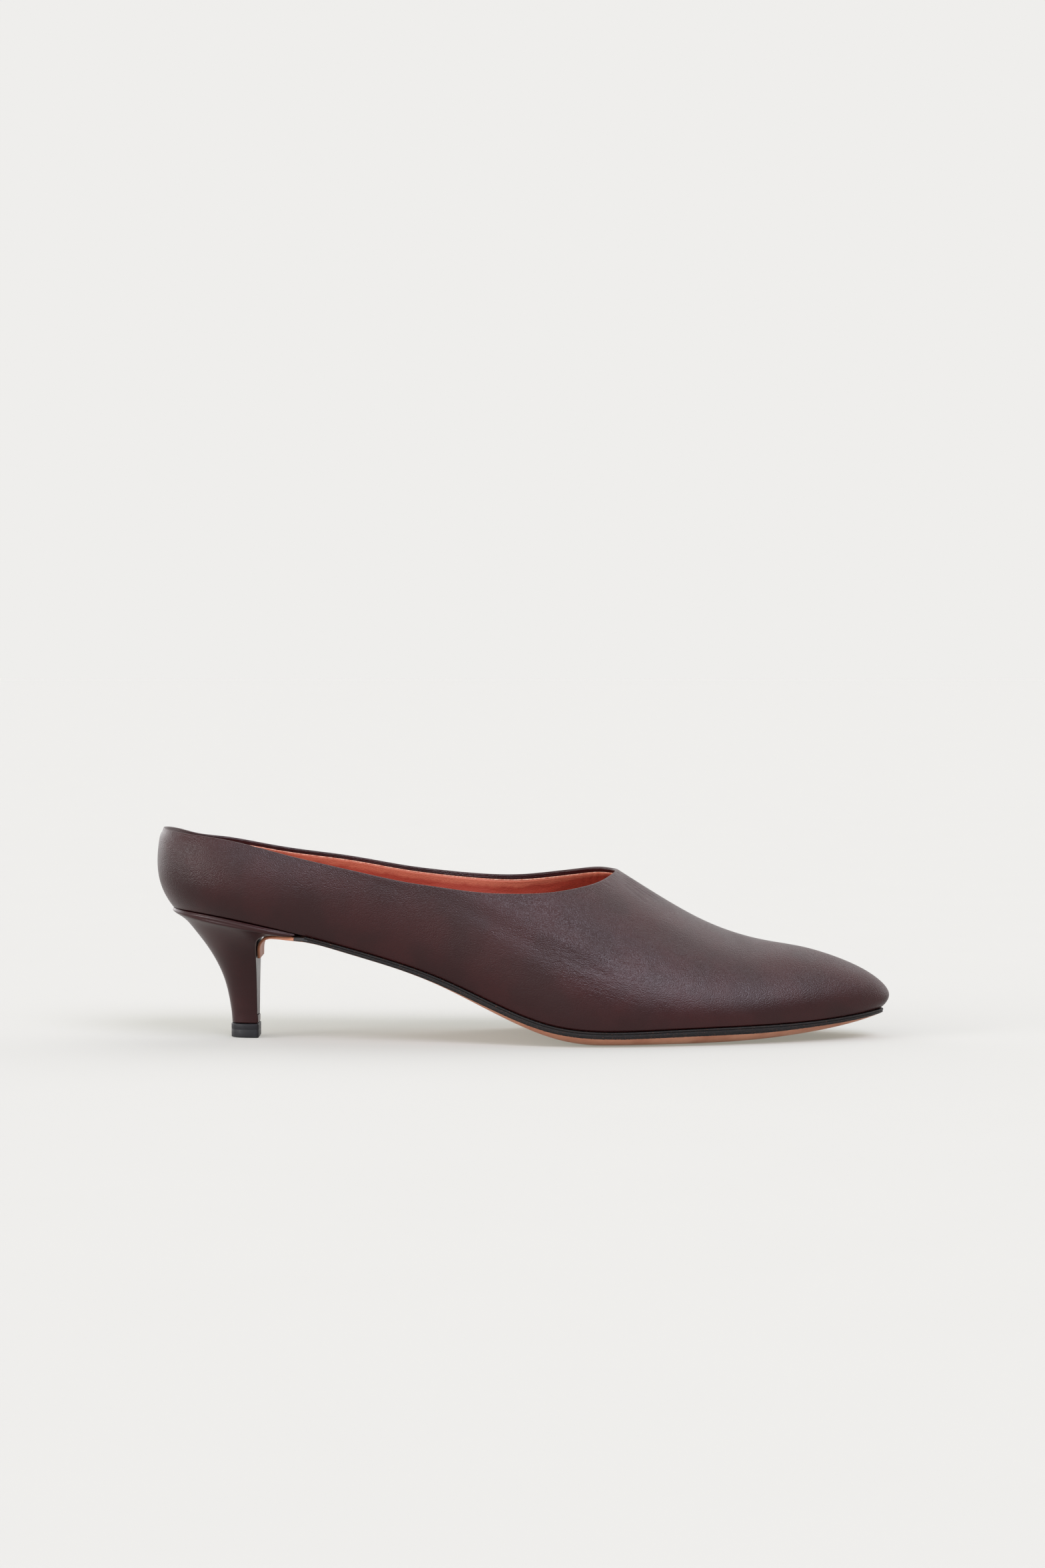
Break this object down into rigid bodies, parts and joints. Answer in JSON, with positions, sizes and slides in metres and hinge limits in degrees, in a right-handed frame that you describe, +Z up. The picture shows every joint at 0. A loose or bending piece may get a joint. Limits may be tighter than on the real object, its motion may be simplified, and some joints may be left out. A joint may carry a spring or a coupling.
{
  "type": "mule",
  "caption": "Low-backed leather mule for the right foot, with an almond toe, a scooped open collar, a thin leather sole and a slim covered kitten heel.",
  "frame": {"origin": "on the floor, under the middle of the shoe", "axes": "+X to the toe, +Y to the inner side of the foot, +Z up"},
  "size_m": [0.25, 0.0784, 0.072],
  "materials": {
    "upper": "smooth, soft sheen",
    "lining": "matt",
    "sole": "satin, edge dyed black",
    "heel_cover": "smooth, soft sheen",
    "top_piece": "semi-matt"
  },
  "bodies": {
    "root": {"upper": "upper", "insole": "lining", "outsole": "sole", "heel": "heel_cover", "top_piece": "top_piece"}
  },
  "joints": []
}
